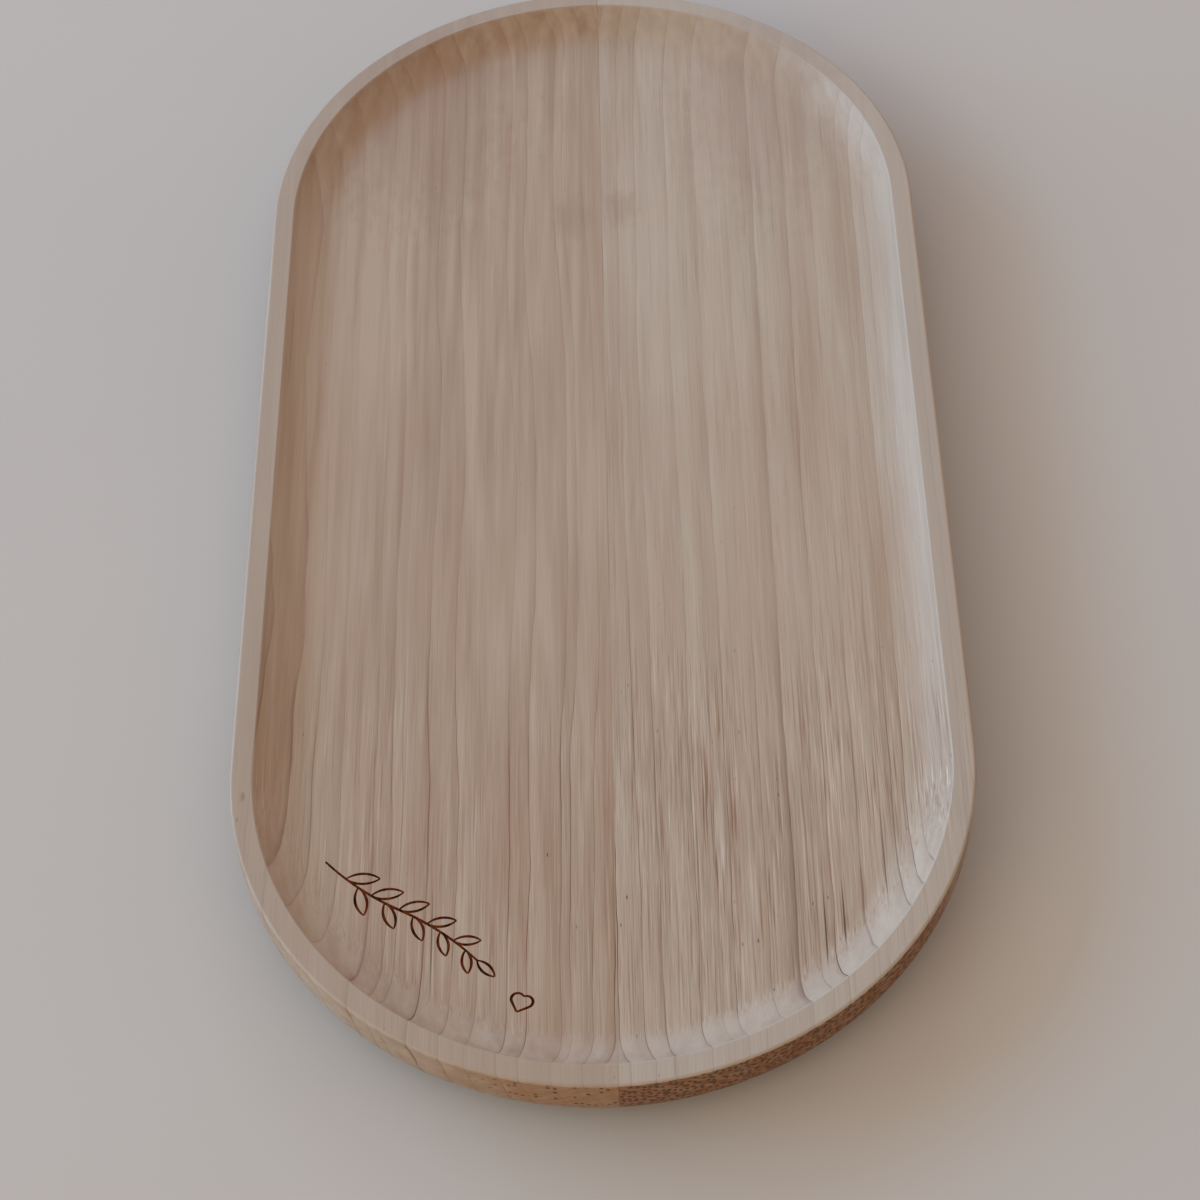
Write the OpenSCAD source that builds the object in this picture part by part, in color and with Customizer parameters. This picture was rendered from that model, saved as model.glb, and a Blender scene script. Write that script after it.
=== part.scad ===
// Shallow wooden serving tray with two round ends, a flat rim and a coved recess.
// Two staves are glued edge to edge. A burned sprig with a small heart marks one end.
// Millimetres, +Z up. The origin is on the resting face, below the middle of the tray.

/* [Tray] */
// Length over both round ends
tray_l = 288; // [220:1:420]
// Width, which also sets the size of the round ends
tray_w = 140; // [110:1:180]
// Height from the resting face to the top of the rim
tray_h = 15; // [12.5:0.5:24]

/* [Rim and recess] */
// Width of the flat rim
rim_w = 4.3; // [3:0.1:10]
// Depth of the recess below the rim
recess_d = 4.5; // [3.6:0.1:6]
// Radius of the cove between the floor and the rim
cove_r = 12; // [8:0.5:16]
// Radius of the rounded lower edge
foot_r = 10; // [5:0.5:11]
// Radius of the eased outer edge of the rim
edge_r = 0.6; // [0.3:0.1:1.2]

/* [Staves] */
// Distance of the glued joint from the middle of the tray
joint_x = 2; // [-4:0.5:12]
// Thickness of the cured glue in the joint
glue_t = 0.2; // [0.1:0.05:0.5]

/* [Burned mark] */
// Width of a burned line
line_w = 0.55; // [0.4:0.05:1]
// Depth of a burned line
line_d = 0.3; // [0.2:0.05:0.6]
// Leaves along each side of the stem
leaf_pairs = 5; // [3:1:6]
// Length of the largest leaf
leaf_l = 6.6; // [5:0.1:7.4]
// Width of the largest leaf
leaf_w = 2.3; // [1.8:0.1:2.8]
// Angle between a leaf and the stem
leaf_turn = 40; // [30:1:50]
// Width of the heart
heart_w = 4.6; // [3.6:0.1:5.6]

/* [Hidden] */
$fn = 96;

end_r = tray_w / 2;
straight_l = tray_l - tray_w;
floor_z = tray_h - recess_d;
cove_w = sqrt(2 * cove_r * recess_d - recess_d * recess_d);
inner_r = end_r - rim_w;
floor_r = inner_r - cove_w;
over = 1;

// The mark keeps its place on the flat floor as the tray grows or shrinks.
mark_k = floor_r / 56.3;
mark_at = [-51.5 * mark_k, -straight_l / 2 - 19 * mark_k];
mark_turn = -38;
stem_r = 54 * mark_k;
stem_half = 18 * mark_k;
stem_a = 2 * asin(stem_half / 2 / stem_r);
first_leaf = 5.5 * mark_k;
leaf_step = (2 * stem_half - first_leaf) / leaf_pairs;
leaf_fade = 0.28;
heart_at = [47.8 * mark_k, -2.2 * mark_k];
heart_turn = 105;
heart_side = heart_w * mark_k / (1 + 1 / sqrt(2));
heart_mid = 0.6 * heart_side;

pale_wood = [0.71, 0.63, 0.55];
rose_wood = [0.68, 0.59, 0.51];
glue_tone = [0.50, 0.38, 0.27];

// ---- cross-section of the tray, from the middle out to the wall ----

module lower_corner() {
    difference() {
        translate([end_r - foot_r, -over])
            square([foot_r + over, foot_r + over]);
        translate([end_r - foot_r, foot_r])
            circle(r = foot_r);
    }
}

module upper_corner() {
    difference() {
        translate([end_r - edge_r, tray_h - edge_r])
            square([edge_r + over, edge_r + over]);
        translate([end_r - edge_r, tray_h - edge_r])
            circle(r = edge_r);
    }
}

module recess_half() {
    translate([0, floor_z])
        square([floor_r, recess_d + over]);
    intersection() {
        translate([floor_r, floor_z + cove_r])
            circle(r = cove_r);
        translate([floor_r - over, floor_z])
            square([inner_r - floor_r + over, recess_d]);
    }
    translate([floor_r - over, tray_h])
        square([inner_r - floor_r + over, over]);
}

module section_half() {
    difference() {
        square([end_r, tray_h]);
        lower_corner();
        upper_corner();
        recess_half();
    }
}

module section_full() {
    section_half();
    mirror([1, 0])
        section_half();
}

// ---- whole tray, before it is parted into staves ----

module round_end() {
    translate([0, straight_l / 2, 0])
        rotate_extrude(angle = 180)
            section_half();
}

module tray_body() {
    round_end();
    rotate([0, 0, 180])
        round_end();
    rotate([90, 0, 0])
        linear_extrude(height = straight_l, center = true)
            section_full();
}

module slab(x_from, x_to) {
    translate([x_from, -tray_l / 2 - over, -over])
        cube([x_to - x_from, tray_l + 2 * over, tray_h + 2 * over]);
}

// ---- burned mark, as cutters that reach line_d below the floor ----

module arc_line(r, from_a, to_a) {
    rotate([0, 0, from_a])
        rotate_extrude(angle = to_a - from_a)
            translate([r - line_w / 2, -line_d])
                square([line_w, line_d + over]);
}

// Two arcs from tip to tip along +X, starting at the origin.
module leaf(l, w) {
    r = (l * l / 4 + w * w / 4) / w;
    a = asin(l / 2 / r);
    translate([l / 2, -r + w / 2, 0])
        arc_line(r, 90 - a, 90 + a);
    translate([l / 2, r - w / 2, 0])
        arc_line(r, 270 - a, 270 + a);
}

// Point and heading of the stem at a distance along it.
function stem_bend(s) = s < stem_half ? -stem_a / 2 + stem_a * s / stem_half
    : stem_a / 2 - stem_a * (s - stem_half) / stem_half;
function stem_x(s) = s < stem_half
    ? stem_half / 2 + stem_r * sin(stem_bend(s))
    : 1.5 * stem_half - stem_r * sin(stem_bend(s));
function stem_y(s) = s < stem_half
    ? stem_r * (cos(stem_a / 2) - cos(stem_bend(s)))
    : stem_r * (cos(stem_bend(s)) - cos(stem_a / 2));

module stem() {
    translate([stem_half / 2, stem_r * cos(stem_a / 2), 0])
        arc_line(stem_r, 270 - stem_a / 2, 270 + stem_a / 2);
    translate([1.5 * stem_half, -stem_r * cos(stem_a / 2), 0])
        arc_line(stem_r, 90 - stem_a / 2, 90 + stem_a / 2);
}

module leaf_on_stem(s, side) {
    k = mark_k * (1 - leaf_fade * s / (2 * stem_half));
    translate([stem_x(s), stem_y(s), 0])
        rotate([0, 0, stem_bend(s) + side * leaf_turn])
            leaf(leaf_l * k, leaf_w * k);
}

module sprig() {
    stem();
    for (i = [0 : leaf_pairs - 1]) {
        leaf_on_stem(first_leaf + i * leaf_step, 1);
        leaf_on_stem(first_leaf + (i + 0.5) * leaf_step, -1);
    }
    leaf_on_stem(2 * stem_half, 0);
}

// A square with a disc on two of its sides, so the lower tip is at the origin.
module heart_plate(side) {
    square([side, side]);
    translate([side / 2, side])
        circle(r = side / 2);
    translate([side, side / 2])
        circle(r = side / 2);
}

module heart() {
    rotate([0, 0, heart_turn - 45])
        translate([-heart_mid, -heart_mid, -line_d])
            linear_extrude(height = line_d + over)
                difference() {
                    heart_plate(heart_side);
                    translate([line_w, line_w])
                        heart_plate(heart_side - 4 / 3 * line_w);
                }
}

module burned_mark() {
    translate([mark_at[0], mark_at[1], floor_z])
        rotate([0, 0, mark_turn]) {
            sprig();
            translate([heart_at[0], heart_at[1], 0])
                heart();
        }
}

// ---- nodes ----

module left_stave() {
    color(pale_wood)
        difference() {
            intersection() {
                tray_body();
                slab(-end_r - over, joint_x - glue_t / 2);
            }
            burned_mark();
        }
}

module right_stave() {
    color(rose_wood)
        intersection() {
            tray_body();
            slab(joint_x + glue_t / 2, end_r + over);
        }
}

module glue_line() {
    color(glue_tone)
        intersection() {
            tray_body();
            slab(joint_x - glue_t / 2, joint_x + glue_t / 2);
        }
}

left_stave();
right_stave();
glue_line();
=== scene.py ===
"""A shallow wooden serving tray with a burned leaf mark, dressed for a studio view.

The tray is two staves glued edge to edge. Both staves and the glue between them are cut
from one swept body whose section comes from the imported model's own box.
"""

import logging
import math
from dataclasses import dataclass, field
from enum import Enum
from functools import partial
from typing import Any, Callable, NamedTuple

import bmesh
import bpy
from mathutils import Matrix, Vector


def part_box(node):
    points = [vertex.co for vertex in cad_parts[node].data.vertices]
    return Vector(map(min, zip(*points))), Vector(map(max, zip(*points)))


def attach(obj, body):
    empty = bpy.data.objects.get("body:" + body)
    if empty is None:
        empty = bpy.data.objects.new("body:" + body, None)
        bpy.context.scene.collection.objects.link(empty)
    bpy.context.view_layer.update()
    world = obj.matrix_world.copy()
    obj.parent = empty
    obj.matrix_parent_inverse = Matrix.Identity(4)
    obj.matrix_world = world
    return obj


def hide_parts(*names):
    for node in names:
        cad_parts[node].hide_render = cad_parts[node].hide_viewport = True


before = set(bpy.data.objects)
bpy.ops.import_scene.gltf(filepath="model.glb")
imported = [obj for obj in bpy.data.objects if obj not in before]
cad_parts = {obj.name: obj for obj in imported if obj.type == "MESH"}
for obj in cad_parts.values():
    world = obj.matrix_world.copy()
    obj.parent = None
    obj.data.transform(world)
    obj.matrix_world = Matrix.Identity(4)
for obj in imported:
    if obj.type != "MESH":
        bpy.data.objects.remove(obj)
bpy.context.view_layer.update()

LOG = logging.getLogger("tray")
MM = 0.001

Pair = tuple[float, float]
Triple = tuple[float, float, float]
Colour = tuple[float, float, float, float]
Mesh = bmesh.types.BMesh
Vert = bmesh.types.BMVert
Edge = bmesh.types.BMEdge
Face = bmesh.types.BMFace
Node = bpy.types.Node
Tree = bpy.types.NodeTree
Material = bpy.types.Material
Socket = bpy.types.NodeSocket


# ---- small helpers ----


def linear(code: str) -> Colour:
    """Turns an sRGB hex colour into the linear colour that the shaders use.

    Args:
        code: six hex digits with a leading hash sign.

    Returns:
        Linear red, green and blue, and an alpha of 1.
    """
    parts = [int(code[i : i + 2], 16) / 255 for i in (1, 3, 5)]
    steps = [c / 12.92 if c <= 0.04045 else ((c + 0.055) / 1.055) ** 2.4 for c in parts]
    return (steps[0], steps[1], steps[2], 1.0)


def add_node(
    tree: Tree,
    kind: str,
    inputs: dict[int | str, Any] | None = None,
    ramp: list[Pair] | None = None,
    **settings: Any,
) -> Node:
    """Adds one shader node with its settings, its values and its links.

    Args:
        tree: the node tree to add to.
        kind: the node's type name, without its ShaderNode.
        inputs: values, sockets or nodes (their first output) for the node's inputs.
        ramp: stops of a colour ramp, each as a position and a grey value.
        **settings: properties to set on the node.

    Returns:
        The new node.
    """
    node = tree.nodes.new("ShaderNode" + kind)
    for name, value in settings.items():
        setattr(node, name, value)
    if ramp is not None:
        stops = node.color_ramp.elements
        while len(stops) < len(ramp):
            stops.new(1.0)
        for stop, (place, grey) in zip(stops, ramp):
            stop.position = place
            stop.color = (grey, grey, grey, 1.0)
    for name, value in (inputs or {}).items():
        if isinstance(value, Node):
            value = value.outputs[0]
        if isinstance(value, Socket):
            tree.links.new(value, node.inputs[name])
        else:
            node.inputs[name].default_value = value
    return node


def new_finish(name: str) -> tuple[Material, Tree, Node]:
    """Starts a finish with an empty node tree.

    Args:
        name: the finish's name.

    Returns:
        The material, its node tree and its texture coordinates.
    """
    mat = bpy.data.materials.new(name)
    mat.use_nodes = True
    mat.node_tree.nodes.clear()
    return mat, mat.node_tree, add_node(mat.node_tree, "TexCoord")


def piece_from(name: str, bm: Mesh, *finishes: Material) -> bpy.types.Object:
    """Makes a scene object out of a finished bmesh and frees the bmesh.

    Args:
        name: the object's name.
        bm: the finished mesh, in metres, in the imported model's frame.
        *finishes: the materials of its slots, in order.

    Returns:
        The new object, at the origin.
    """
    mesh = bpy.data.meshes.new(name)
    bm.to_mesh(mesh)
    bm.free()
    for finish in finishes:
        mesh.materials.append(finish)
    piece = bpy.data.objects.new(name, mesh)
    bpy.context.scene.collection.objects.link(piece)
    return piece


# ---- finishes ----


class Lean(Enum):
    """Which way the growth rings lean as they rise through a stave."""

    TO_THE_LEFT = -1
    TO_THE_RIGHT = 1


class Coat(NamedTuple):
    """One colour laid over those before it."""

    share: Node
    tone: Colour | Socket
    blend: str = "MIX"


class Dashes(NamedTuple):
    """Thin marks along the grain: their size, how rare they are, depth and colour."""

    size: Triple
    span: Pair
    depth: float
    tone: str


class Pores(NamedTuple):
    """Open pores, one to a cell, with a radius and a kept share of the cells."""

    cell: Triple
    radius: float
    kept: float
    on_face: float
    on_end: float
    space: str


class KnotAndShadeSpot(NamedTuple):
    """A darker spot: where it is, its reach across and along, and its depth. Small ones are
    knotty marks in the wood, and broad ones are painted shade.
    """

    x: float
    y: float
    wide: float
    long: float
    deep: float


@dataclass(frozen=True)
class SandedWood:
    """Sanded, unvarnished pale hardwood, cut from one board. Sizes are in millimetres.

    The rings lean by tilt, lie about ring apart and wander by wave. The colour runs from
    pale to tan, with patches of blush. Stripe, streak, dash, fibre and crossing say how
    strong each layer is. The end span says how squarely a cut has to cross the grain to
    show as end grain; a wide span also lays the end colour over the side of the outer
    wall, as painted shade.
    """

    name: str
    lean: Lean
    tilt: float
    ring: float
    wave: float
    pale: str
    tan: str
    blush: str
    line: str
    end: str
    rim: str
    stripe: float
    streak: float
    dash: float
    fibre: float
    crossing: float
    pore_share: float
    end_and_shade_span: Pair
    seed: float
    knots_and_shade: tuple[KnotAndShadeSpot, ...]

    def material(self, floor: float, rise: float) -> Material:
        """Builds the wood.

        Args:
            floor: height of the tray's floor above the table.
            rise: height of the rim's top above the floor.

        Returns:
            The new material.
        """
        mat, tree, coords = new_finish(self.name)
        place = add_node(
            tree,
            "Mapping",
            {
                0: coords.outputs["Object"],
                "Location": (0.0, 0.0, -floor),
                "Scale": (1 / MM, 1 / MM, 1 / MM),
            },
        )
        add = partial(add_node, tree)
        WoodGrain(self, add, place, coords.outputs["Normal"], rise).dress()
        return mat


# Rubberwood, flat sawn and sanded bare: matt and pale, with widely spaced brown ring
# lines that wander, soft stripes and few pores, and pale ends crossed by slanting rays.
FLAT_SAWN = SandedWood(
    name="sanded_rubberwood_flat_sawn",
    lean=Lean.TO_THE_LEFT,
    tilt=0.55,
    ring=4.6,
    wave=17.0,
    pale="#AB9885",
    tan="#8F745C",
    blush="#A4826C",
    line="#643616",
    end="#966C45",
    rim="#A08F80",
    stripe=0.34,
    streak=0.28,
    dash=0.45,
    fibre=0.8,
    crossing=0.5,
    pore_share=0.10,
    end_and_shade_span=(0.88, 1.0),
    seed=3.0,
    knots_and_shade=(
        KnotAndShadeSpot(-67.1, -80.7, 0.5, 1.3, 0.5),
        KnotAndShadeSpot(-67.8, -86.0, 0.35, 0.9, 0.45),
        KnotAndShadeSpot(-1.5, 136.0, 2.2, 3.0, 0.35),
        KnotAndShadeSpot(-5.0, 74.0, 6.0, 9.0, 0.18),
        # A broad darker cloud over the far end of the floor: painted shade.
        KnotAndShadeSpot(-38.0, 108.0, 28.0, 44.0, 0.24),
    ),
)

# The same wood, quarter sawn: paler, with straight lines, many short brown dashes where
# vessels are cut along their length, and brown ends full of dark pores. The brown of the
# ends is also laid over the side of the outer wall, as painted shade on the wall that
# faces away from the window.
QUARTER_SAWN = SandedWood(
    name="sanded_rubberwood_quarter_sawn",
    lean=Lean.TO_THE_RIGHT,
    tilt=0.4,
    ring=4.6,
    wave=8.0,
    pale="#B0A191",
    tan="#967F69",
    blush="#A98B76",
    line="#4C260F",
    end="#7F4D1F",
    rim="#A99D91",
    stripe=0.24,
    streak=0.34,
    dash=0.95,
    fibre=1.3,
    crossing=0.32,
    pore_share=0.42,
    # A wide span: the end colour covers the outer wall's side too, as painted shade.
    end_and_shade_span=(0.2, 0.6),
    seed=31.0,
    # The second, broad spot is painted shade over the far end of the floor.
    knots_and_shade=(KnotAndShadeSpot(6.5, 76.0, 4.5, 8.0, 0.22), KnotAndShadeSpot(40.0, 108.0, 26.0, 44.0, 0.17)),
)


@dataclass
class WoodGrain:
    """Draws one board's grain with a node maker that is bound to the board's tree.

    The growth rings are sheets that run through the whole board, so lines, pores and end
    grain agree on the floor, the cove, the rim and the wall. Places are in millimetres,
    up from the tray's floor.
    """

    wood: SandedWood
    add: Callable[..., Node]
    place: Node
    normal: Socket
    rise: float
    bold_up_to: float = -92.0
    calm_from: float = -26.0
    calm: float = 0.22
    # Colour of the knotty marks and of the painted shade at the far end.
    knot_and_shade: str = "#7A4F3C"
    pore: str = "#42260F"

    def dress(self) -> None:
        """Draws the rings, the colours and the pores, and joins them in one shader."""
        bold = self._bold()
        end, along = self._cut()
        line, warm = self._rings(bold)
        fine = self.add("Math", {0: bold, 1: along}, operation="MULTIPLY")
        pores = self._pores(end, fine)
        top = self._top()
        coats = self._body(line, warm, fine)
        # The end colour: cut end grain, and where a stave's span is wide, painted shade on the
        # side of its outer wall.
        coats.append(Coat(self._rays(end), linear(self.wood.end)))
        coats.append(Coat(top, linear(self.wood.rim)))
        # Knotty marks, and broad painted shade over the far end of the floor.
        coats += self._knots_and_shade()
        below = self.add("Math", {0: 1.0, 1: top}, operation="SUBTRACT")
        open_pores = self.add("Math", {0: pores, 1: below}, operation="MULTIPLY")
        coats.append(Coat(open_pores, linear(self.pore)))
        colour = linear(self.wood.pale)
        for share, tone, blend in coats:
            colour = self.add(
                "Mix",
                {0: share, 6: colour, 7: tone},
                data_type="RGBA",
                blend_type=blend,
            ).outputs[2]
        self._shade(colour, line, pores)

    def _figure(
        self,
        size: Triple,
        low: float,
        high: float,
        span: Pair = (0.3, 0.7),
        detail: float = 2.0,
        place: Node | None = None,
    ) -> Node:
        """Adds one layer of figure: soft patches, stretched along the grain.

        Args:
            size: the patches' usual size along X, Y and Z.
            low: the layer's value in its faintest places.
            high: the layer's value in its strongest places.
            span: the part of the noise's range that is spread between the two.
            detail: how much finer figure rides on the patches.
            place: the place to read, if it isn't the board's own.

        Returns:
            The layer's value.
        """
        seed = self.wood.seed
        spot = self.add(
            "Mapping",
            {
                0: place or self.place,
                "Location": (seed, seed * 1.7, seed * 0.6),
                "Scale": tuple(1 / s for s in size),
            },
        )
        noise = self.add(
            "TexNoise",
            {"Vector": spot, "Scale": 1.0, "Detail": detail, "Roughness": 0.55},
        )
        return self.add("MapRange", {0: noise, 1: span[0], 2: span[1], 3: low, 4: high})

    def _bold(self) -> Node:
        """Gives how bold the figure is: full at the marked end, calmer towards the other.

        Returns:
            The figure's strength.
        """
        parts = self.add("SeparateXYZ", {0: self.place})
        return self.add(
            "MapRange",
            {0: parts.outputs[1], 1: self.bold_up_to, 2: self.calm_from, 3: 1.0, 4: self.calm},
            interpolation_type="SMOOTHSTEP",
        )

    def _cut(self) -> tuple[Node, Node]:
        """Tells how the surface cuts through the grain.

        Returns:
            How much of the end colour shows, full on the wall and slight on the cove, and how
            much the surface runs with the grain. The end colour marks cut end grain and, where
            the span is wide, painted shade on the side of the outer wall.
        """
        parts = self.add("SeparateXYZ", {0: self.normal})
        across = self.add("Math", {0: parts.outputs[1]}, operation="ABSOLUTE")
        low, high = self.wood.end_and_shade_span
        end, upward, along = (
            self.add(
                "MapRange",
                {0: part, 1: start, 2: stop, 3: first, 4: last},
                interpolation_type="SMOOTHSTEP",
            )
            for part, start, stop, first, last in (
                (across, low, high, 0.0, 1.0),
                (parts.outputs[2], 0.25, 0.6, 1.0, 0.08),
                (across, 0.03, 0.32, 1.0, 0.12),
            )
        )
        end = self.add("Math", {0: end, 1: upward}, operation="MULTIPLY")
        return end, along

    def _rings(self, bold: Node) -> tuple[Node, Node]:
        """Builds the growth rings as leaning, slightly wavy sheets.

        Args:
            bold: the figure's strength.

        Returns:
            The strength of the rings' dark lines, and how warm the wood between them is.
        """
        wood = self.wood
        bent = self.add(
            "VectorMath",
            {0: self.place, 1: (1.0, 0.0, -wood.lean.value * wood.tilt)},
            operation="DOT_PRODUCT",
        ).outputs["Value"]
        # Each board starts at its own ring; the sheets bend widely, gently and finely.
        bends = [wood.seed * 13.7]
        for size, reach in (
            ((85.0, 240.0, 50.0), wood.wave),
            ((14.0, 75.0, 14.0), wood.wave * 0.16),
            ((5.0, 16.0, 5.0), 0.9),
        ):
            bends.append(self._figure(size, -reach / 2, reach / 2, (0.0, 1.0)))
        for bend in bends:
            bent = self.add("Math", {0: bent, 1: bend}, operation="ADD")
        # Good and poor years make the rings wide or narrow.
        uneven = self.add(
            "TexNoise",
            {"W": bent, "Scale": 0.11, "Detail": 2.0},
            noise_dimensions="1D",
        )
        count = self.add("Math", {0: bent, 1: 1 / wood.ring}, operation="MULTIPLY")
        count = self.add("Math", {0: uneven, 1: 2.6, 2: count}, operation="MULTIPLY_ADD")
        within = self.add("Math", {0: count}, operation="FRACT")
        number = self.add("Math", {0: count}, operation="FLOOR")
        chance = self.add("TexWhiteNoise", {"W": number}, noise_dimensions="1D")
        # Late wood darkens slowly to a thin line, and the next ring starts at once.
        line = self.add(
            "ValToRGB",
            {0: within},
            ramp=[(0, 0.5), (0.015, 0), (0.66, 0), (0.94, 0.13), (0.963, 0.7), (0.985, 1)],
        )
        own = self.add("MapRange", {0: chance, 3: 0.4, 4: 1.45})
        worn = self._figure((5.0, 38.0, 5.0), 0.3, 1.1)
        for part in (own, worn, bold):
            line = self.add("Math", {0: line, 1: part}, operation="MULTIPLY", use_clamp=True)
        warm = self.add("MapRange", {0: within, 1: 0.2, 2: 1.0, 3: 0.12, 4: 0.34})
        warm = self.add("Math", {0: chance, 1: 0.25, 2: warm}, operation="MULTIPLY_ADD")
        return line, warm

    def _body(self, line: Node, warm: Node, fine: Node) -> list[Coat]:
        """Colours the face grain from its broad clouds down to single fibres.

        Args:
            line: the strength of the rings' dark lines.
            warm: how warm the wood between them is.
            fine: how clearly fine figure shows.

        Returns:
            The coats, from the first to the last.
        """
        wood = self.wood
        # Streaks come in bands: dense in one part of the board, nearly absent in the next.
        band = self._figure((17.0, 70.0, 12.0), 0.35, 1.0)
        streak = self._figure((0.55, 34.0, 0.55), -wood.streak, wood.streak)
        for part in (fine, band):
            streak = self.add("Math", {0: streak, 1: part}, operation="MULTIPLY")
        for layer in (
            self._figure((28.0, 95.0, 20.0), -0.22, 0.22),
            self._figure((2.6, 60.0, 2.6), -wood.stripe, wood.stripe),
        ):
            warm = self.add("Math", {0: warm, 1: layer}, operation="ADD")
        warm = self.add("Math", {0: streak, 1: warm}, operation="ADD", use_clamp=True)
        # The board blushes in soft patches, as pale hardwoods do.
        blush = self._figure((11.0, 48.0, 11.0), 0.0, 0.30)
        coats = [Coat(warm, linear(wood.tan)), Coat(blush, linear(wood.blush))]
        # Vessels cut along their length leave thin brown dashes, with thin pale dashes among
        # them.
        # Real ones are near 0.2 mm wide and are drawn wider, to show.
        for size, span, depth, tone in (
            Dashes((0.32, 20.0, 0.32), (0.55, 0.68), wood.dash, "#7C4A2A"),
            Dashes((0.36, 24.0, 0.36), (0.56, 0.72), wood.dash * 0.7, "#D6C9BC"),
            Dashes((0.6, 50.0, 0.6), (0.60, 0.74), wood.dash * 0.8, "#7C4E34"),
        ):
            dash = self._figure(size, 0.0, depth, span)
            for part in (band, fine):
                dash = self.add("Math", {0: dash, 1: part}, operation="MULTIPLY")
            coats.append(Coat(dash, linear(tone)))
        coats.append(Coat(line, linear(wood.line)))
        # Fine fibres keep a sanded board from looking printed. Real ones are a few
        # hundredths of a millimetre wide, so bundles of them are drawn.
        fuzz = self._figure((0.24, 9.0, 0.24), 0.80, 1.12, detail=3.0)
        share = self.add("Math", {0: fine, 1: band}, operation="MULTIPLY")
        share = self.add("Math", {0: share, 1: wood.fibre}, operation="MULTIPLY", use_clamp=True)
        coats.append(Coat(share, fuzz.outputs[0], "MULTIPLY"))
        return coats

    def _rays(self, end: Node) -> Node:
        """Draws the rays that cross the rings on cut ends.

        Args:
            end: how much of the end colour shows: cut end grain, and painted shade on the outer
                wall's side where the span is wide.

        Returns:
            The share of the end grain's colour, less where a ray runs.
        """
        turn = math.atan(self.wood.tilt) * self.wood.lean.value
        turned = self.add("Mapping", {0: self.place, "Rotation": (0.0, -turn, 0.0)})
        least = 1.0 - self.wood.crossing
        rays = self._figure((4.5, 2.5, 0.6), least, 1.0, (0.40, 0.60), place=turned)
        return self.add("Math", {0: rays, 1: end}, operation="MULTIPLY", use_clamp=True)

    def _top(self) -> Node:
        """Finds the rim's top, which is given a greyer tone than the wood below it.

        Returns:
            The share of the rim's colour.
        """
        parts = self.add("SeparateXYZ", {0: self.place})
        return self.add(
            "MapRange",
            {0: parts.outputs[2], 1: self.rise - 0.45, 2: self.rise - 0.05, 4: 0.72},
        )

    def _knots_and_shade(self) -> list[Coat]:
        """Draws the small knotty marks and the broad darker clouds, painted shade at the far
        end.

        Returns:
            One coat for each.
        """
        rough = self._figure((2.5, 5.0, 2.5), 0.7, 1.3)
        coats = []
        for x, y, wide, long, deep in self.wood.knots_and_shade:
            near = self.add(
                "Mapping",
                {
                    0: self.place,
                    "Location": (-x / wide, -y / long, 0.0),
                    "Scale": (1 / wide, 1 / long, 0.0),
                },
            )
            away = self.add("VectorMath", {0: near}, operation="LENGTH").outputs["Value"]
            away = self.add("Math", {0: away, 1: rough}, operation="MULTIPLY")
            knot_and_shade = self.add(
                "MapRange",
                {0: away, 1: 1.0, 2: 0.25, 4: deep},
                interpolation_type="SMOOTHSTEP",
            )
            coats.append(Coat(knot_and_shade, linear(self.knot_and_shade)))
        return coats

    def _pores(self, end: Node, fine: Node) -> Node:
        """Adds the open pores and a few long seams.

        Vessels show as short dashes where the face runs with the grain and as round dots
        where it is cut across. Real ones are near 0.2 mm wide; those on the ends are
        drawn four times as wide and fewer, to show.

        Args:
            end: how much of the end colour shows: cut end grain, and painted shade on the outer
                wall's side where the span is wide.
            fine: how clearly fine figure shows.

        Returns:
            How deep a pore is.
        """
        share = self.wood.pore_share
        total = None
        for cell, radius, kept, on_face, on_end, space in (
            Pores((1.3, 4.6, 1.3), 0.14, share, 0.8, 0.0, "3D"),
            Pores((1.15, 1.0, 0.95), 0.42, share * 2.2, 0.0, 0.85, "2D"),
            Pores((3.6, 280.0, 1.0), 0.055, 0.3 + share, 0.85, 0.0, "2D"),
        ):
            cells = self.add(
                "Mapping",
                {
                    0: self.place,
                    "Location": (self.wood.seed, 3.0, 5.0),
                    "Rotation": (math.pi / 2 if on_end else 0.0, 0.0, 0.0),
                    "Scale": tuple(1 / s for s in cell),
                },
            )
            voronoi = self.add(
                "TexVoronoi",
                {"Vector": cells, "Scale": 1.0, "Randomness": 0.8},
                voronoi_dimensions=space,
            )
            dot = self.add(
                "MapRange",
                {0: voronoi.outputs["Distance"], 1: radius, 2: radius * 0.5},
                interpolation_type="SMOOTHSTEP",
            )
            pick = self.add("SeparateColor", {0: voronoi.outputs["Color"]})
            pick = self.add("Math", {0: pick.outputs[0], 1: kept}, operation="LESS_THAN")
            depth = self.add("MapRange", {0: end, 3: on_face, 4: on_end})
            for part in (pick, depth):
                dot = self.add("Math", {0: dot, 1: part}, operation="MULTIPLY")
            total = dot if total is None else self.add(
                "Math", {0: total, 1: dot}, operation="MAXIMUM"
            )
        patch = self._figure((9.0, 40.0, 9.0), 0.15, 1.0, (0.42, 0.6))
        for part, how in ((fine, "MULTIPLY"), (end, "MAXIMUM"), (total, "MULTIPLY")):
            patch = self.add("Math", {0: patch, 1: part}, operation=how)
        return patch

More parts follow.
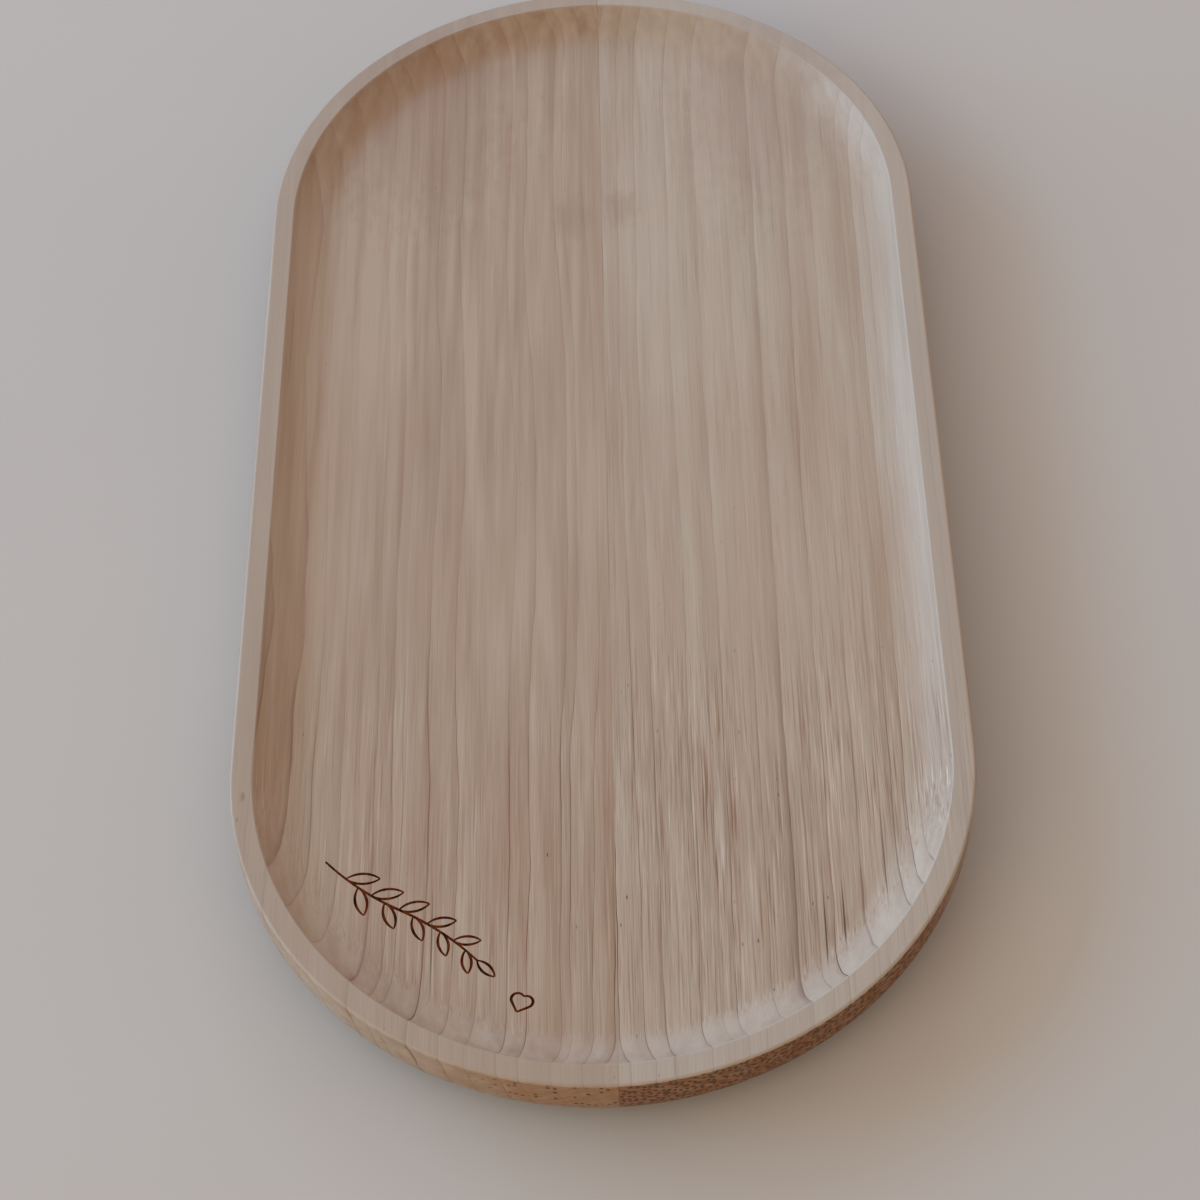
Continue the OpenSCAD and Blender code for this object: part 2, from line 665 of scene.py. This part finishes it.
    def _shade(self, colour: Socket, line: Node, pores: Node) -> None:
        """Joins colour, roughness and relief in one shader.

        Args:
            colour: the finished colour.
            line: the strength of the rings' dark lines, which lie a little low.
            pores: how deep a pore is.
        """
        height = self._figure((0.45, 9.0, 0.45), 0.0, 0.3)
        for sunk, depth in ((pores, -1.0), (line, -0.35)):
            height = self.add("Math", {0: sunk, 1: depth, 2: height}, operation="MULTIPLY_ADD")
        bump = self.add("Bump", {"Height": height, "Strength": 0.5, "Distance": 0.08 * MM})
        rough = self._figure((1.5, 30.0, 1.5), 0.50, 0.62)
        shader = self.add(
            "BsdfPrincipled",
            {
                "Base Color": colour,
                "Roughness": rough,
                "Normal": bump,
                "IOR": 1.5,
                "Specular IOR Level": 0.5,
            },
        )
        self.add("OutputMaterial", {0: shader})


@dataclass(frozen=True)
class CuredGlue:
    """Cured wood glue in the joint."""

    # A thin, slightly darker and glossier line than the wood beside it.
    name: str = "cured_wood_glue"
    tone: str = "#A28D79"
    dark: str = "#8F7762"
    end: str = "#80552F"

    def material(self) -> Material:
        """Builds the glue, uneven along the joint as squeezed glue is.

        Returns:
            The new material.
        """
        mat, tree, coords = new_finish(self.name)
        # Blots are near 2 mm across the film and 17 mm along it.
        spot = add_node(
            tree,
            "Mapping",
            {0: coords.outputs["Object"], "Scale": (500.0, 60.0, 500.0)},
        )
        blots = add_node(tree, "TexNoise", {"Vector": spot, "Scale": 1.0, "Detail": 3.0})
        share = add_node(tree, "MapRange", {0: blots, 1: 0.35, 2: 0.65})
        # On the outer wall the film soaked into open end grain and dried darker.
        parts = add_node(tree, "SeparateXYZ", {0: coords.outputs["Normal"]})
        wall = add_node(tree, "MapRange", {0: parts.outputs[2], 1: 0.2, 2: 0.6, 3: 1.0, 4: 0.0})
        colour = linear(self.tone)
        for part, tone in ((share, self.dark), (wall, self.end)):
            colour = add_node(
                tree,
                "Mix",
                {0: part, 6: colour, 7: linear(tone)},
                data_type="RGBA",
            ).outputs[2]
        bump = add_node(tree, "Bump", {"Height": blots, "Strength": 0.3, "Distance": 0.05 * MM})
        shader = add_node(
            tree,
            "BsdfPrincipled",
            {"Base Color": colour, "Roughness": 0.5, "Normal": bump, "IOR": 1.47},
        )
        add_node(tree, "OutputMaterial", {0: shader})
        return mat


@dataclass(frozen=True)
class CharredLine:
    """Charred wood in the burned lines. Heights are in millimetres."""

    # Toasted red-brown at the lips and near black below, with no shine at all.
    floor: float
    depth: float
    name: str = "charred_wood"
    lip: str = "#86401A"
    core: str = "#230D02"

    def material(self) -> Material:
        """Builds the char, which darkens with depth below the floor.

        Returns:
            The new material.
        """
        mat, tree, coords = new_finish(self.name)
        parts = add_node(tree, "SeparateXYZ", {0: coords.outputs["Object"]})
        top = self.floor * MM
        sunk = add_node(
            tree,
            "MapRange",
            {0: parts.outputs[2], 1: top, 2: top - 0.45 * self.depth * MM},
            interpolation_type="SMOOTHSTEP",
        )
        # The crust breaks into flakes near 0.7 mm wide and 3 mm along the grain.
        spot = add_node(
            tree,
            "Mapping",
            {0: coords.outputs["Object"], "Scale": (1400.0, 350.0, 1400.0)},
        )
        crust = add_node(tree, "TexNoise", {"Vector": spot, "Scale": 1.0, "Detail": 3.0})
        patch = add_node(tree, "MapRange", {0: crust, 1: 0.35, 2: 0.62, 3: 0.45})
        share = add_node(tree, "Math", {0: sunk, 1: patch}, operation="MULTIPLY")
        colour = add_node(
            tree,
            "Mix",
            {0: share, 6: linear(self.lip), 7: linear(self.core)},
            data_type="RGBA",
        ).outputs[2]
        bump = add_node(tree, "Bump", {"Height": crust, "Strength": 0.6, "Distance": 0.05 * MM})
        shader = add_node(
            tree,
            "BsdfPrincipled",
            {
                "Base Color": colour,
                "Roughness": 0.8,
                "Normal": bump,
                "IOR": 1.5,
                "Specular IOR Level": 0.06,
            },
        )
        add_node(tree, "OutputMaterial", {0: shader})
        return mat


@dataclass(frozen=True)
class PaleTableTop:
    """Matt paint on a table top."""

    # Plain, pale and warm grey, with no shine from any side.
    name: str = "matt_table_paint"
    tone: str = "#BDB8B4"
    shade: str = "#B9B4B0"

    def material(self) -> Material:
        """Builds the table top with a barely visible mottling.

        Returns:
            The new material.
        """
        mat, tree, coords = new_finish(self.name)
        mottle = add_node(
            tree,
            "TexNoise",
            {"Vector": coords.outputs["Object"], "Scale": 9.0, "Detail": 3.0},
        )
        colour = add_node(
            tree,
            "Mix",
            {0: mottle, 6: linear(self.tone), 7: linear(self.shade)},
            data_type="RGBA",
        ).outputs[2]
        shader = add_node(
            tree,
            "BsdfPrincipled",
            {"Base Color": colour, "Roughness": 1.0, "IOR": 1.45, "Specular IOR Level": 0.0},
        )
        add_node(tree, "OutputMaterial", {0: shader})
        return mat


# ---- the tray ----


@dataclass
class TraySection:
    """The tray's cross-section, from the middle out to the wall, in metres."""

    end_r: float
    height: float
    rim_w: float = 4.3 * MM
    recess_d: float = 4.5 * MM
    cove_r: float = 12.0 * MM
    foot_r: float = 10.0 * MM
    edge_r: float = 0.6 * MM
    ease: float = 0.12 * MM
    crease: float = 0.06 * MM
    foot_steps: int = 14
    edge_steps: int = 5
    cove_steps: int = 18

    @property
    def floor_z(self) -> float:
        """Height of the recess's floor above the table."""
        return self.height - self.recess_d

    @property
    def inner_r(self) -> float:
        """Distance from the middle to the inner edge of the rim."""
        return self.end_r - self.rim_w

    @property
    def floor_r(self) -> float:
        """Distance from the middle to where the floor turns up into the cove."""
        reach = math.sqrt(2 * self.cove_r * self.recess_d - self.recess_d**2)
        return self.inner_r - reach

    def wire(self, bm: Mesh, y: float) -> list[Any]:
        """Draws the section as one open line in a plane across the tray.

        A short stroke before and after each bend keeps the flats flat when shaded.

        Args:
            bm: the mesh to draw in.
            y: where the plane stands along the tray.

        Returns:
            The line's vertices and edges.
        """
        crease, ease, top = self.crease, self.ease, self.height
        foot, edge = self.end_r - self.foot_r, self.end_r - self.edge_r
        quarter = math.pi / 2
        pen = bm.verts.new((0.0, y, 0.0))
        pen = self._straight(bm, pen, (foot - crease, 0.0), (foot, 0.0))
        pen = self._arc(bm, pen, (foot, self.foot_r), quarter, self.foot_steps)
        pen = self._straight(
            bm,
            pen,
            (self.end_r, self.foot_r + crease),
            (self.end_r, top - self.edge_r - crease),
            (self.end_r, top - self.edge_r),
        )
        pen = self._arc(bm, pen, (edge, top - self.edge_r), quarter, self.edge_steps)
        # The rim's inner edge is eased in two short strokes before the cove starts.
        drop = 0.45 * ease
        low = math.acos(1 - (self.recess_d - drop) / self.cove_r)
        pen = self._straight(
            bm,
            pen,
            (edge - crease, top),
            (self.inner_r + ease + crease, top),
            (self.inner_r + ease, top),
            (self.inner_r + 0.3 * ease, top - 0.12 * ease),
            (self.floor_r + self.cove_r * math.sin(low), top - drop),
        )
        centre = (self.floor_r, self.floor_z + self.cove_r)
        pen = self._arc(bm, pen, centre, -low, self.cove_steps)
        flat = self.floor_r - 3 * crease
        self._straight(bm, pen, (flat, self.floor_z), (0.0, self.floor_z))
        return bm.verts[:] + bm.edges[:]

    @staticmethod
    def _straight(bm: Mesh, pen: Vert, *stops: Pair) -> Vert:
        """Draws straight strokes from the pen.

        Args:
            bm: the mesh to draw in.
            pen: where the first stroke starts.
            *stops: where each stroke ends, across the tray and up.

        Returns:
            The last stroke's end.
        """
        for across, up in stops:
            y = pen.co.y
            pen = bmesh.ops.extrude_vert_indiv(bm, verts=[pen])["verts"][0]
            pen.co = Vector((across, y, up))
        return pen

    @staticmethod
    def _arc(bm: Mesh, pen: Vert, centre: Pair, turn: float, steps: int) -> Vert:
        """Draws an arc about a centre in the section's plane.

        Args:
            bm: the mesh to draw in.
            pen: where the arc starts.
            centre: the arc's centre, across the tray and up.
            turn: the angle, positive from +X towards +Z.
            steps: how many straight strokes make the arc.

        Returns:
            The arc's last vertex.
        """
        out = bmesh.ops.spin(
            bm,
            geom=[pen],
            cent=(centre[0], pen.co.y, centre[1]),
            axis=(0.0, -1.0, 0.0),
            angle=turn,
            steps=steps,
        )
        return [g for g in out["geom_last"] if isinstance(g, Vert)][0]


@dataclass
class BurnedMark:
    """A sprig of leaves and a small heart, burned into the floor. Sizes in millimetres.

    The mark is laid out on a floor of radius drawn_r and grows or shrinks with the floor.
    """

    floor_r: float
    end_y: float
    floor_z: float
    drawn_r: float = 56.3
    start: Pair = (-51.5, -19.0)
    turn: float = math.radians(-38.0)
    stem_r: float = 54.0
    stem_half: float = 18.0
    stem_steps: int = 40
    first_leaf: float = 5.5
    leaf_pairs: int = 5
    leaf_l: float = 6.6
    leaf_w: float = 2.3
    leaf_turn: float = math.radians(40.0)
    leaf_fade: float = 0.28
    leaf_steps: int = 14
    heart_at: Pair = (47.8, -2.2)
    heart_w: float = 4.6
    heart_inset: float = 0.32
    heart_turn: float = math.radians(105.0)
    side_steps: int = 6
    lobe_steps: int = 12
    pen_r: float = 0.30
    pen_lift: float = 0.085
    strokes: list[list[tuple[Vector, float]]] = field(default_factory=list)

    @property
    def depth(self) -> float:
        """Depth of a full stroke below the floor."""
        return self.pen_r - self.pen_lift

    @property
    def stem_bend(self) -> float:
        """Half of the angle that each half of the stem bends through."""
        return math.asin(self.stem_half / 2 / self.stem_r)

    def _heading(self, s: float) -> float:
        """Heading of the stem at a distance along it."""
        share = s / self.stem_half
        return self.stem_bend * (2 * share - 1 if share < 1 else 3 - 2 * share)

    def _stem(self, s: float) -> Vector:
        """Point of the stem at a distance along it, on one of its two arcs."""
        way, middle = (1, 0.5) if s < self.stem_half else (-1, 1.5)
        h = self._heading(s)
        x = middle * self.stem_half + way * self.stem_r * math.sin(h)
        y = way * self.stem_r * (math.cos(self.stem_bend) - math.cos(h))
        return Vector((x, y, 0.0))

    def _add(self, points: list[Vector], least: float) -> None:
        """Adds a stroke whose press is full in the middle and lightest at both ends.

        Args:
            points: the stroke's points, in order.
            least: the press at its ends, as a share of the full press.
        """
        steps = len(points) - 1
        swell = [math.sin(math.pi * i / steps) for i in range(steps + 1)]
        self.strokes.append([(p, least + (1 - least) * s) for p, s in zip(points, swell)])

    def _leaf(self, s: float, side: int) -> None:
        """Adds both edges of a leaf.

        Args:
            s: the distance along the stem at which the leaf leaves it.
            side: 1 or -1 for the side it leaves to, or 0 for straight on.
        """
        size = 1 - self.leaf_fade * s / (2 * self.stem_half)
        length, width = self.leaf_l * size, self.leaf_w * size
        radius = (length**2 + width**2) / 4 / width
        half = math.asin(length / 2 / radius)
        turned = Matrix.Rotation(self._heading(s) + side * self.leaf_turn, 4, "Z")
        for edge in (1, -1):
            points = []
            for i in range(self.leaf_steps + 1):
                a = -half + 2 * half * i / self.leaf_steps
                x = length / 2 + radius * math.sin(a)
                y = edge * (radius * math.cos(a) - radius + width / 2)
                points.append(self._stem(s) + turned @ Vector((x, y, 0.0)))
            self._add(points, 0.62)

    def _heart(self) -> None:
        """Adds the heart as two strokes that meet at its tip and in its notch."""
        side = self.heart_w / (1 + 1 / math.sqrt(2)) - self.heart_inset
        at = Vector((*self.heart_at, 0.0))
        turned = Matrix.Rotation(self.heart_turn - math.pi / 4, 4, "Z")
        mid = Vector((0.6 * side, 0.6 * side, 0.0))
        for swap in (False, True):
            line = [(0.0, side * i / self.side_steps) for i in range(self.side_steps + 1)]
            for i in range(1, self.lobe_steps + 1):
                a = math.pi - math.pi * i / self.lobe_steps
                line.append((side / 2 + side / 2 * math.cos(a), side + side / 2 * math.sin(a)))
            if swap:
                line = [(y, x) for x, y in line]
            self._add([at + turned @ (Vector((x, y, 0.0)) - mid) for x, y in line], 0.75)

    def draw(self) -> None:
        """Lists every stroke of the mark, in the mark's own plane."""
        self.strokes.clear()
        length = 2 * self.stem_half
        marks = [length * i / self.stem_steps for i in range(self.stem_steps + 1)]
        self._add([self._stem(s) for s in marks], 0.78)
        step = (length - self.first_leaf) / self.leaf_pairs
        for i in range(self.leaf_pairs):
            self._leaf(self.first_leaf + i * step, 1)
            self._leaf(self.first_leaf + (i + 0.5) * step, -1)
        self._leaf(length, 0)
        self._heart()

    def cutter(self) -> bpy.types.Object:
        """Sweeps a round pen along every stroke, as the body that burns the groove.

        Returns:
            A mesh object in the tray's frame, to be cut away and removed.
        """
        self.draw()
        size = self.floor_r / self.drawn_r
        x, y = (size * c for c in self.start)
        place = Matrix.Scale(MM, 4)
        place @= Matrix.Translation((x, self.end_y + y, self.floor_z + self.pen_lift))
        place = place @ Matrix.Rotation(self.turn, 4, "Z") @ Matrix.Scale(size, 4)
        curve = bpy.data.curves.new("pen", "CURVE")
        curve.dimensions = "3D"
        curve.bevel_depth = self.pen_r * MM
        curve.bevel_resolution = 4
        curve.use_fill_caps = True
        for stroke in self.strokes:
            spline = curve.splines.new("POLY")
            spline.points.add(len(stroke) - 1)
            for point, (where, press) in zip(spline.points, stroke):
                point.co = (*(place @ where), 1.0)
                point.radius = press
        rod = bpy.data.objects.new("pen", curve)
        bpy.context.scene.collection.objects.link(rod)
        graph = bpy.context.evaluated_depsgraph_get()
        mesh = bpy.data.meshes.new_from_object(rod.evaluated_get(graph))
        bpy.data.objects.remove(rod)
        bpy.data.curves.remove(curve)
        bm = bmesh.new()
        bm.from_mesh(mesh)
        bpy.data.meshes.remove(mesh)
        # The pen's end caps come loose and are joined to its sides.
        bmesh.ops.remove_doubles(bm, verts=bm.verts, dist=1e-7)
        return piece_from("burning_tool", bm)

    def burn(self, piece: bpy.types.Object) -> None:
        """Burns the mark into a stave and gives its grooves the stave's second finish.

        Args:
            piece: the stave, with the char as its second material.
        """
        tool = self.cutter()
        cut = piece.modifiers.new("burn", "BOOLEAN")
        cut.operation = "DIFFERENCE"
        cut.solver = "EXACT"
        cut.use_self = True
        cut.object = tool
        graph = bpy.context.evaluated_depsgraph_get()
        mesh = bpy.data.meshes.new_from_object(piece.evaluated_get(graph))
        piece.modifiers.clear()
        old = piece.data
        piece.data = mesh
        bpy.data.meshes.remove(old)
        bpy.data.objects.remove(tool)
        bm = bmesh.new()
        bm.from_mesh(mesh)
        # Where two strokes cross, the cut leaves slivers, which are closed up here.
        bmesh.ops.remove_doubles(bm, verts=bm.verts, dist=0.002 * MM)
        bmesh.ops.dissolve_degenerate(bm, edges=bm.edges, dist=0.0005 * MM)
        bare = [edge for edge in bm.edges if not edge.link_faces]
        bmesh.ops.delete(bm, geom=bare, context="EDGES")
        bare = [vert for vert in bm.verts if not vert.link_faces]
        bmesh.ops.delete(bm, geom=bare, context="VERTS")
        TrayBody.soften(bm)
        for face in bm.faces:
            face.material_index = int(self._in_groove(face))
            # The flat floor round the mark stays flat.
            face.smooth = face.normal.z < 0.9999
        # The lips stay crisp.
        for edge in bm.edges:
            if len({face.material_index for face in edge.link_faces}) == 2:
                edge.smooth = False
        bm.to_mesh(mesh)
        bm.free()
        LOG.info("burned mark: %d strokes", len(self.strokes))

    def _in_groove(self, face: Face) -> bool:
        """Tells whether a face of the stave lies in one of the grooves.

        Args:
            face: the face, in metres.

        Returns:
            True below the floor, inside its outline and off the glued joint.
        """
        middle = face.calc_center_median() / MM
        past_end = max(0.0, abs(middle.y) - abs(self.end_y))
        inside = math.hypot(middle.x, past_end) < self.floor_r
        sunk = 0.002 < self.floor_z - middle.z < 1.0
        return inside and sunk and abs(face.normal.x) < 0.999


@dataclass
class TrayBody:
    """The whole tray, swept in one piece and then parted into staves."""

    section: TraySection
    length: float
    round_steps: int = 96
    straight_steps: int = 12

    @property
    def half(self) -> float:
        """Half of the straight length between the two round ends."""
        return self.length / 2 - self.section.end_r

    def sweep(self) -> Mesh:
        """Sweeps the section round the tray's outline into one closed body.

        Returns:
            The closed body.
        """
        bm = bmesh.new()
        line = self.section.wire(bm, -self.half)
        line = self._run(bm, line, 2 * self.half)
        line = self._turn(bm, line, self.half)
        line = self._run(bm, line, -2 * self.half)
        self._turn(bm, line, -self.half)
        # A small rounding gap is left where the sweep comes back to its start.
        bmesh.ops.remove_doubles(bm, verts=bm.verts, dist=0.008 * MM)
        bmesh.ops.dissolve_degenerate(bm, edges=bm.edges, dist=1e-8)
        bmesh.ops.recalc_face_normals(bm, faces=bm.faces)
        return bm

    def _run(self, bm: Mesh, line: list[Any], way: float) -> list[Any]:
        """Pulls the section straight along the tray.

        Args:
            bm: the mesh to draw in.
            line: the section's vertices and edges.
            way: how far it is pulled along +Y.

        Returns:
            The section's vertices and edges in their last place.
        """
        for _ in range(self.straight_steps):
            edges = [g for g in line if isinstance(g, Edge)]
            line = bmesh.ops.extrude_edge_only(bm, edges=edges)["geom"]
            verts = [g for g in line if isinstance(g, Vert)]
            bmesh.ops.translate(bm, verts=verts, vec=(0.0, way / self.straight_steps, 0.0))
        return [g for g in line if not isinstance(g, Face)]

    def _turn(self, bm: Mesh, line: list[Any], y: float) -> list[Any]:
        """Spins the section half a turn about the middle of a round end.

        Args:
            bm: the mesh to draw in.
            line: the section's vertices and edges.
            y: where the end's middle is along the tray.

        Returns:
            What the spin gives for the section's last place.
        """
        out = bmesh.ops.spin(
            bm,
            geom=[g for g in line if not isinstance(g, Face)],
            cent=(0.0, y, 0.0),
            axis=(0.0, 0.0, 1.0),
            angle=math.pi,
            steps=self.round_steps,
        )
        return out["geom_last"]

    def part(self, bm: Mesh, low: float | None, high: float | None) -> Mesh:
        """Cuts a slice out of the body between two upright planes along the tray.

        Args:
            bm: the closed body, which is left as it is.
            low: the slice's left side, or None where the body's own side stays.
            high: the slice's right side, or None where the body's own side stays.

        Returns:
            The closed slice, ready to be made a piece.
        """
        cut = bm.copy()
        for place, way in ((low, -1.0), (high, 1.0)):
            if place is None:
                continue
            out = bmesh.ops.bisect_plane(
                cut,
                geom=cut.verts[:] + cut.edges[:] + cut.faces[:],
                dist=1e-8,
                plane_co=(place, 0.0, 0.0),
                plane_no=(way, 0.0, 0.0),
                clear_outer=True,
            )
            rim = [g for g in out["geom_cut"] if isinstance(g, Edge)]
            bmesh.ops.holes_fill(cut, edges=rim, sides=0)
        bmesh.ops.recalc_face_normals(cut, faces=cut.faces)
        self.soften(cut)
        return cut

    @staticmethod
    def soften(bm: Mesh, crease: float = math.radians(32)) -> None:
        """Shades the faces smooth, with a crisp break wherever they meet at an angle.

        Args:
            bm: the mesh to shade.
            crease: the smallest angle that breaks the shading.
        """
        for face in bm.faces:
            face.smooth = True
        for edge in bm.edges:
            if len(edge.link_faces) == 2:
                edge.smooth = edge.calc_face_angle(0.0) < crease


@dataclass
class Tray:
    """The tray's staves, the glue between them and the burned mark."""

    left_box: tuple[Vector, Vector]
    right_box: tuple[Vector, Vector]

    def build(self) -> None:
        """Builds, dresses and places every piece of the tray."""
        section = TraySection(end_r=self.right_box[1].x, height=self.right_box[1].z)
        body = TrayBody(section, length=2 * self.left_box[1].y)
        floor, rise = section.floor_z / MM, section.recess_d / MM
        mark = BurnedMark(section.floor_r / MM, end_y=-body.half / MM, floor_z=floor)
        flat_sawn = FLAT_SAWN.material(floor, rise)
        quarter_sawn = QUARTER_SAWN.material(floor, rise)
        char = CharredLine(floor, mark.depth).material()

        whole = body.sweep()
        joint = self.left_box[1].x, self.right_box[0].x
        left = piece_from("stave_left", body.part(whole, None, joint[0]), flat_sawn, char)
        mark.burn(left)
        self._place(left, "left_stave")
        right = piece_from("stave_right", body.part(whole, joint[1], None), quarter_sawn)
        self._place(right, "right_stave")
        film = piece_from("glue_film", body.part(whole, *joint), CuredGlue().material())
        self._place(film, "glue_line")
        whole.free()

    @staticmethod
    def _place(piece: bpy.types.Object, node: str) -> None:
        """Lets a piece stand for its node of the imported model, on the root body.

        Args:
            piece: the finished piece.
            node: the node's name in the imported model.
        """
        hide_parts(node)
        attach(piece, "root")
        LOG.info("%s: %d faces, for %s", piece.name, len(piece.data.polygons), node)


# ---- studio ----


@dataclass
class Studio:
    """A pale table top, soft daylight from the left, and the camera.

    The camera's place is in half widths of the tray, from the middle of its top, and its
    turn is in degrees.
    """

    rim_z: float
    half_width: float
    table_half: float = 24.0
    table_cells: int = 16
    glow: Triple = (0.65, 0.53, 0.445)
    eye: Triple = (0.1926, -5.4627, 6.2789)
    look: Triple = (38.105, 2.338, -0.787)
    lens: float = 85.74
    film: float = 36.0

    def build(self) -> None:
        """Sets the table, the lights and the camera."""
        self._table()
        self._world()
        # A wide cool window low at the left, another behind the far end that lights the
        # near cove, and a weak warm fill from the near left.
        self._lamp("window", (-2.08, 0.74, 0.80), 2.9, 1.1, (23.5, 42.5, 64.0))
        self._lamp("far_window", (-0.30, 2.15, 1.0), 1.8, 1.0, (7.0, 10.5, 15.0))
        self._lamp("fill", (-1.0, -1.0, 0.8), 1.0, 0.8, (5.5, 5.2, 3.6))
        self._camera()

    def _table(self) -> None:
        """Lays the table top under the tray."""
        bm = bmesh.new()
        cells = self.table_cells
        bmesh.ops.create_grid(bm, x_segments=cells, y_segments=cells, size=self.table_half)
        top = piece_from("table_top", bm, PaleTableTop().material())

    def _world(self) -> None:
        """Fills the room with soft, warm light."""
        world = bpy.data.worlds.new("room")
        world.use_nodes = True
        tree = world.node_tree
        tree.nodes.clear()
        glow = add_node(tree, "Background", {"Color": (*self.glow, 1.0), "Strength": 1.0})
        add_node(tree, "OutputWorld", {0: glow})
        bpy.context.scene.world = world

    @staticmethod
    def _lamp(name: str, spot: Triple, wide: float, tall: float, power: Triple) -> None:
        """Hangs a broad soft light that faces the tray.

        Args:
            name: the light's name.
            spot: where it hangs.
            wide: its width.
            tall: its height.
            power: its watts in red, green and blue.
        """
        lamp = bpy.data.lights.new(name, "AREA")
        lamp.shape = "RECTANGLE"
        lamp.size = wide
        lamp.size_y = tall
        lamp.energy = max(power)
        lamp.color = tuple(p / max(power) for p in power)
        light = bpy.data.objects.new(name, lamp)
        light.location = spot
        light.rotation_euler = (-Vector(spot)).to_track_quat("-Z", "Y").to_euler()
        bpy.context.scene.collection.objects.link(light)

    def _camera(self) -> None:
        """Stands the camera above the near end, looking down along the tray."""
        camera = bpy.data.cameras.new("camera")
        camera.lens = self.lens
        camera.sensor_width = self.film
        camera.dof.use_dof = False
        eye = bpy.data.objects.new("camera", camera)
        x, y, z = (self.half_width * part for part in self.eye)
        eye.location = (x, y, z + self.rim_z)
        eye.rotation_euler = [math.radians(angle) for angle in self.look]
        bpy.context.scene.collection.objects.link(eye)
        bpy.context.scene.camera = eye
        bpy.context.scene.view_settings.view_transform = "Standard"


def corners(node: str) -> tuple[Vector, Vector]:
    """Gives a node's lowest and highest corners.

    Args:
        node: the node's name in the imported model.

    Returns:
        Both corners, in metres.
    """
    low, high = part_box(node)
    return Vector(low), Vector(high)


def main() -> None:
    """Builds the tray and the studio from both staves' boxes."""
    logging.basicConfig(level=logging.INFO, format="%(name)s: %(message)s")
    left, right = corners("left_stave"), corners("right_stave")
    Tray(left, right).build()
    Studio(rim_z=left[1].z, half_width=right[1].x).build()


if __name__ == "__main__":
    main()
